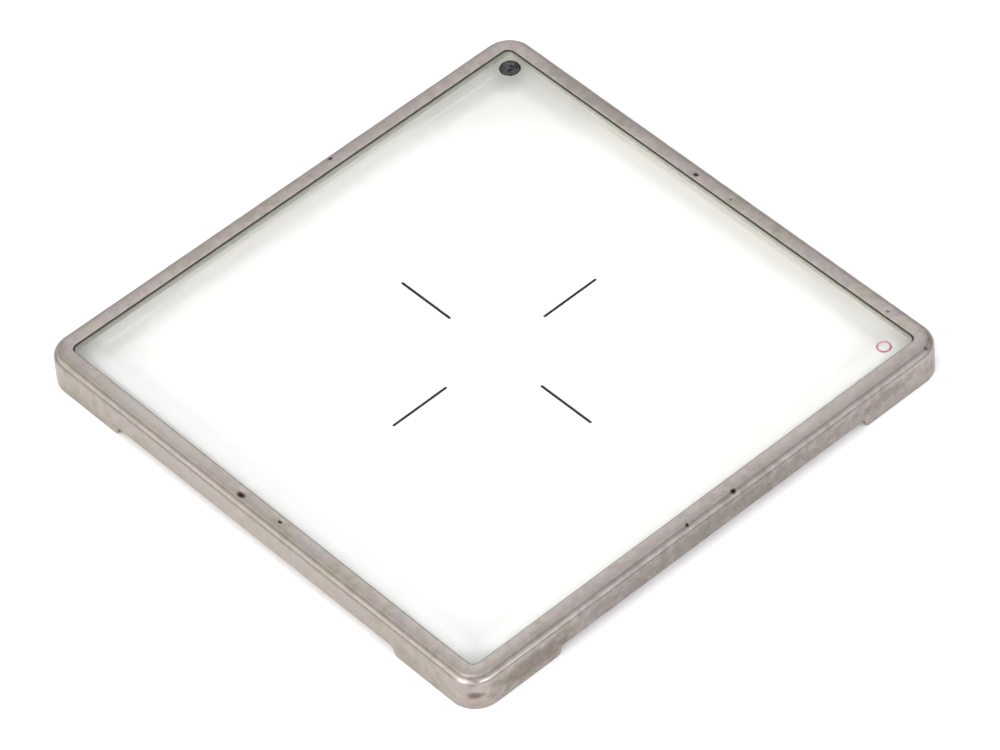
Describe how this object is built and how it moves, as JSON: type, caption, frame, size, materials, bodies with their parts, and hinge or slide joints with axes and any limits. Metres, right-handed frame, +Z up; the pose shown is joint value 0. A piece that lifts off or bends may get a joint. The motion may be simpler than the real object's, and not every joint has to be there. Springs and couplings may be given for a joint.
{
  "type": "focusing screen",
  "caption": "Square focusing screen of a reflex camera: a ground glass with an open centre cross over a fresnel lens, held in a metal frame with corner feet.",
  "frame": {"origin": "centre of the frame on the plane that the four corner feet stand on", "axes": "+Z up through the glass, towards the eye; X and Y along the frame's sides. Front is -Y, rear +Y, left -X, right +X; the enamel dot is at the +X+Y corner"},
  "size_m": [0.06, 0.06, 0.0039],
  "materials": {
    "frame_metal": "dull satin nickel plate, handled and pitted",
    "screen_glass": "polished on top, fine ground underneath",
    "lens_acrylic": "clear acrylic with fine concentric grooves",
    "line_ink": "black filled line",
    "mark_ink": "dark purple print",
    "dot_enamel": "glossy black enamel dab",
    "cement": "hardened amber cement"
  },
  "bodies": {
    "root": {"frame": "frame_metal", "ground_glass": "screen_glass", "fresnel_lens": "lens_acrylic", "reticle_line_front": "line_ink", "reticle_line_rear": "line_ink", "reticle_line_left": "line_ink", "reticle_line_right": "line_ink", "corner_mark": "mark_ink", "index_dot": "dot_enamel", "cement_bead_front": "cement", "cement_bead_rear": "cement", "cement_bead_left": "cement", "cement_bead_right": "cement"}
  },
  "joints": []
}
